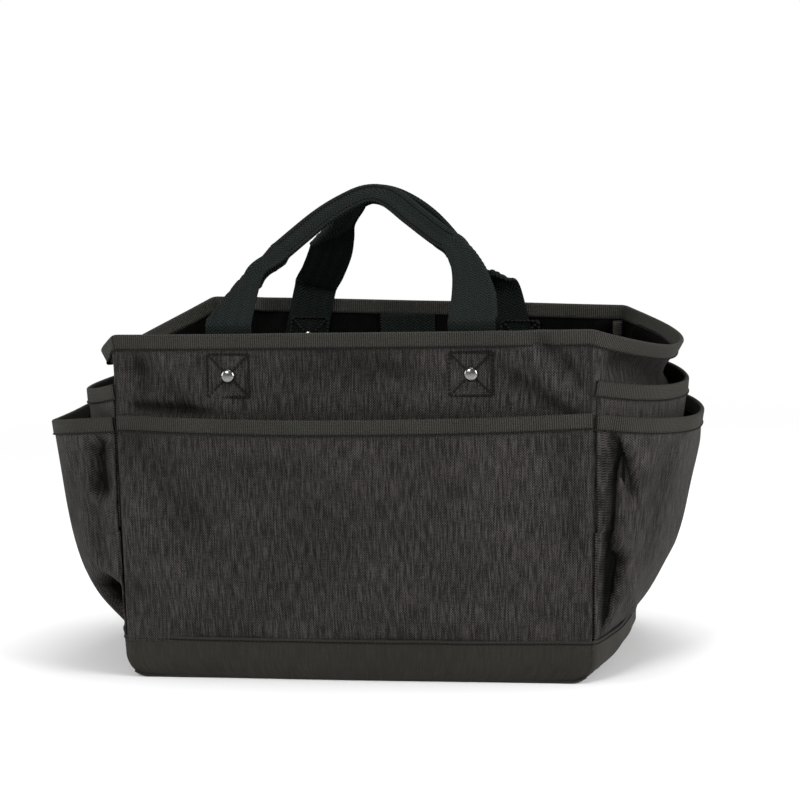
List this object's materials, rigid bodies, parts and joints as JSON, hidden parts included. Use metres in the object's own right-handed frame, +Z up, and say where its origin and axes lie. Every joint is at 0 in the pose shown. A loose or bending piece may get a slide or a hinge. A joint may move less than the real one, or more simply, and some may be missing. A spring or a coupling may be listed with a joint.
{
  "type": "garden tool bag",
  "caption": "Open-top cloth tote for garden hand tools, with pockets on all four sides and two webbing handles that fold outwards.",
  "frame": {"origin": "centre of the flat base, on the floor", "axes": "+X along the bag's width, +Y from its front to its back, +Z up"},
  "size_m": [0.5616, 0.2942, 0.4018],
  "materials": {
    "body_cloth": "charcoal polyester oxford weave, matt",
    "foot_cloth": "smoother coated polyester, dark olive brown",
    "binding_tape": "ribbed grey-olive tape",
    "webbing": "woven strap, herringbone rib, near black",
    "nickel": "polished nickel plate",
    "thread": "black sewing thread",
    "board": "black sheet, fine grain"
  },
  "bodies": {
    "bag": {"back_base_band": "foot_cloth", "back_box_stitches": "thread", "back_corner_seam_tapes": "binding_tape", "back_handle_tails": "webbing", "back_panel": "body_cloth", "back_pocket": "body_cloth", "back_pocket_binding": "binding_tape", "back_rim_binding": "binding_tape", "back_rivet_backs": "nickel", "back_rivet_caps": "nickel", "base_panel": "foot_cloth", "front_base_band": "foot_cloth", "front_box_stitches": "thread", "front_corner_seam_tapes": "binding_tape", "front_handle_tails": "webbing", "front_panel": "body_cloth", "front_pocket": "body_cloth", "front_pocket_binding": "binding_tape", "front_rim_binding": "binding_tape", "front_rivet_backs": "nickel", "front_rivet_caps": "nickel", "inner_strap_anchor": "webbing", "left_base_band": "foot_cloth", "left_lower_pocket": "body_cloth", "left_lower_pocket_binding": "binding_tape", "left_rim_binding": "binding_tape", "left_side_panel": "body_cloth", "left_upper_pocket": "body_cloth", "left_upper_pocket_binding": "binding_tape", "right_base_band": "foot_cloth", "right_lower_pocket": "body_cloth", "right_lower_pocket_binding": "binding_tape", "right_rim_binding": "binding_tape", "right_side_panel": "body_cloth", "right_upper_pocket": "body_cloth", "right_upper_pocket_binding": "binding_tape"},
    "front_handle": {"front_handle_strap": "webbing"},
    "rear_handle": {"back_handle_strap": "webbing"},
    "hanging_strap": {"inner_strap": "webbing"},
    "stiffener": {"base_board": "board"}
  },
  "joints": [
    {"name": "front_handle_fold", "type": "hinge", "parent": "bag", "child": "front_handle", "pos_m": [0, -0.1248, 0.296], "axis": [1, 0, 0], "range_deg": [0, 165]},
    {"name": "rear_handle_fold", "type": "hinge", "parent": "bag", "child": "rear_handle", "pos_m": [0, 0.1248, 0.296], "axis": [1, 0, 0], "range_deg": [-165, 0]},
    {"name": "hanging_strap_swing", "type": "hinge", "parent": "bag", "child": "hanging_strap", "pos_m": [0, 0.1239, 0.271], "axis": [1, 0, 0], "range_deg": [-80, 0]},
    {"name": "base_board_lift", "type": "slide", "parent": "bag", "child": "stiffener", "axis": [0, 0, 1], "range_m": [0, 0.275]}
  ]
}
